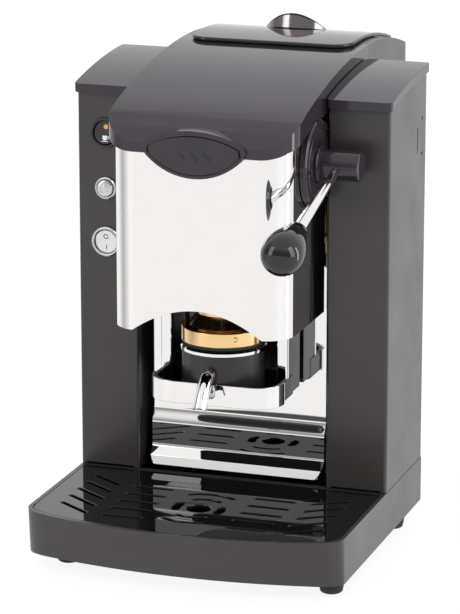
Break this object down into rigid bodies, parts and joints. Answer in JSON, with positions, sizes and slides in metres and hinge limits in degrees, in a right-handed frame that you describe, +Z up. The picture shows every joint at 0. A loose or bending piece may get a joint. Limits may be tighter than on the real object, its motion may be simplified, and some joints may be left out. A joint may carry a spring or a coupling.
{
  "type": "pod coffee machine",
  "caption": "Lever pod coffee machine: casing towers on a bowed base, chrome head, brass brew piston over a pod holder, slotted drip tray and rear water tank.",
  "frame": {"origin": "on the table under the middle of the machine's overall box", "axes": "+X to the machine's right, +Y to its back, +Z up; the spout and drip tray face -Y"},
  "size_m": [0.2332, 0.3724, 0.3566],
  "materials": {
    "casing": "satin",
    "cover": "semi gloss",
    "gloss_black": "high gloss",
    "chrome": "mirror",
    "steel": "satin",
    "brass": "polished",
    "rubber": "matt",
    "matt_black": "matt",
    "white": "semi gloss",
    "tank": "smoked, clear",
    "board": "matt",
    "tube": "translucent"
  },
  "bodies": {
    "chassis": {"base_pan": "casing", "foot_front_left": "rubber", "foot_front_right": "rubber", "foot_middle_left": "rubber", "foot_middle_right": "rubber", "foot_rear_left": "rubber", "foot_rear_right": "rubber", "tower_left": "casing", "tower_right": "casing", "lid_left": "casing", "lid_right": "casing", "power_bezel": "matt_black", "brew_bezel": "steel", "button_bezel": "steel", "back_plate": "chrome", "head_shell": "chrome", "head_cover": "cover", "badge": "cover", "lever_boss": "gloss_black", "shaft_bracket": "steel", "column_left": "chrome", "column_right": "chrome", "group_bridge": "steel", "cradle": "chrome", "cradle_screw": "steel", "pod_holder": "matt_black", "holder_ring": "chrome", "spout": "chrome", "rear_housing": "casing", "tank_bulkhead": "steel", "pump": "matt_black", "pump_bracket": "steel", "suction_tube": "tube", "pressure_tube": "tube", "control_board": "board", "power_inlet": "matt_black", "screw_upper_left": "steel", "screw_upper_right": "steel", "screw_lower_left": "steel", "screw_lower_right": "steel"},
    "lever": {"lever_hub": "gloss_black", "lever_rod": "chrome", "lever_knob": "gloss_black", "lever_shaft": "steel", "crank": "steel"},
    "brew_head": {"brew_piston": "brass", "piston_gasket": "rubber", "boiler": "brass", "crank_yoke": "steel", "thermostat": "matt_black"},
    "power_rocker": {"power_rocker": "matt_black"},
    "brew_rocker": {"brew_rocker": "white"},
    "push_button": {"push_button": "steel"},
    "tank": {"water_tank": "tank"},
    "tank_lid": {"tank_lid": "cover", "lid_pull": "gloss_black"},
    "drip_tray": {"drip_tray": "matt_black"},
    "drip_grille": {"drip_grille": "gloss_black"}
  },
  "joints": [
    {"name": "lever_hinge", "type": "hinge", "parent": "chassis", "child": "lever", "pos_m": [0, -0.04358, 0.2822], "axis": [-1, 0, 0], "range_deg": [0, 80]},
    {"name": "brew_head_slide", "type": "slide", "parent": "chassis", "child": "brew_head", "axis": [0, 0, 1], "range_m": [0, 0.01543]},
    {"name": "power_rocker_hinge", "type": "hinge", "parent": "chassis", "child": "power_rocker", "pos_m": [-0.094, -0.02498, 0.29], "axis": [1, 0, 0], "range_deg": [0, 16]},
    {"name": "brew_rocker_hinge", "type": "hinge", "parent": "chassis", "child": "brew_rocker", "pos_m": [-0.094, -0.02498, 0.211], "axis": [-1, 0, 0], "range_deg": [0, 16]},
    {"name": "push_button_slide", "type": "slide", "parent": "chassis", "child": "push_button", "axis": [0, 1, 0], "range_m": [0, 0.0015], "stiffness_N_per_m": 300},
    {"name": "tank_lift", "type": "slide", "parent": "chassis", "child": "tank", "axis": [0, 0, 1], "range_m": [0, 0.18]},
    {"name": "tank_lid_lift", "type": "slide", "parent": "tank", "child": "tank_lid", "axis": [0, 0, 1], "range_m": [0, 0.06]},
    {"name": "drip_tray_lift", "type": "slide", "parent": "chassis", "child": "drip_tray", "axis": [0, 0, 1], "range_m": [0, 0.03]},
    {"name": "drip_grille_lift", "type": "slide", "parent": "drip_tray", "child": "drip_grille", "axis": [0, 0, 1], "range_m": [0, 0.03]}
  ],
  "couplings": [
    {"joint": "lever_hinge", "follows": "brew_head_slide", "rad_per_m": 90.48}
  ]
}
